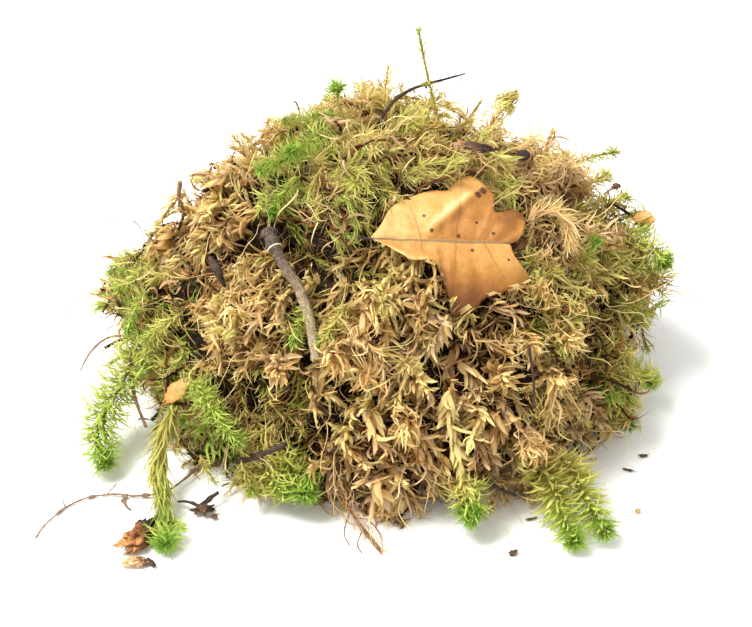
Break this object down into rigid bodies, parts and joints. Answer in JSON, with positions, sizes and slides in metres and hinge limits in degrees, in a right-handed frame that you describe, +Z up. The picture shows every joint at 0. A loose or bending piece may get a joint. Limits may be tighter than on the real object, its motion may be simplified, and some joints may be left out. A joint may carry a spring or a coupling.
{
  "type": "moss clump",
  "caption": "Loose heap of green and straw-coloured bog moss with a dead oak leaf, twigs and bark caught in it, resting on its flat underside.",
  "frame": {"origin": "middle of the heap's outline, on the surface it rests on", "axes": "+Z up, -Y towards the front where the oak leaf faces, +X along the heap's longest side"},
  "size_m": [0.2547, 0.2084, 0.1504],
  "materials": {
    "moss_green": "soft matte, translucent leaf tips",
    "moss_olive": "soft matte",
    "moss_golden": "soft matte, dry",
    "moss_straw": "soft matte, dry and pale",
    "moss_tan": "soft matte, dry",
    "moss_brown": "matte, dark and damp",
    "dead_leaf": "dry leaf, faint sheen",
    "twig": "rough bark",
    "root": "thin wiry root, matte",
    "bark": "crumbling bark, matte",
    "crumb": "pale dry crumb, matte"
  },
  "bodies": {
    "root": {"tuft_crown_green": "moss_green", "tuft_crown_straw": "moss_straw", "tuft_crown_back": "moss_golden", "tuft_shoulder_golden": "moss_golden", "tuft_shoulder_pink": "moss_tan", "tuft_left_olive": "moss_olive", "tuft_left_green": "moss_green", "tuft_center_golden": "moss_golden", "tuft_leaf_bed": "moss_straw", "tuft_heart": "moss_straw", "tuft_center_tan": "moss_tan", "tuft_right_curly": "moss_golden", "tuft_front_left": "moss_olive", "tuft_front_middle": "moss_brown", "tuft_front_right": "moss_straw", "tuft_right_olive": "moss_olive", "tuft_right_green": "moss_green", "tuft_back_left": "moss_golden", "tuft_back_middle": "moss_olive", "tuft_back_right": "moss_tan", "shoot_left_arm": "moss_green", "shoot_front_left": "moss_olive", "shoot_front_middle": "moss_green", "shoot_front_right_inner": "moss_green", "shoot_front_right_outer": "moss_green", "shoot_low_head": "moss_green", "shoot_spray": "moss_green", "shoot_right_star": "moss_green", "shoot_right_low": "moss_green", "shoot_back_right": "moss_olive", "shoot_top_thin": "moss_green", "shoot_top_star": "moss_green", "shoot_top_pale": "moss_olive", "twig_grey": "twig", "twig_black_top": "twig", "twig_dark_front": "twig", "twig_dark_low": "twig", "twig_reddish": "root", "twig_needle": "twig", "stem_arching": "twig", "root_zigzag": "root", "root_fibre": "root", "bark_flake": "bark", "bark_crumb": "bark", "crumb_pale": "crumb", "bark_strip": "bark", "bud_brown": "bark", "leaf_scrap_left": "dead_leaf", "leaf_scrap_right": "dead_leaf", "oak_leaf": "dead_leaf"}
  },
  "joints": []
}
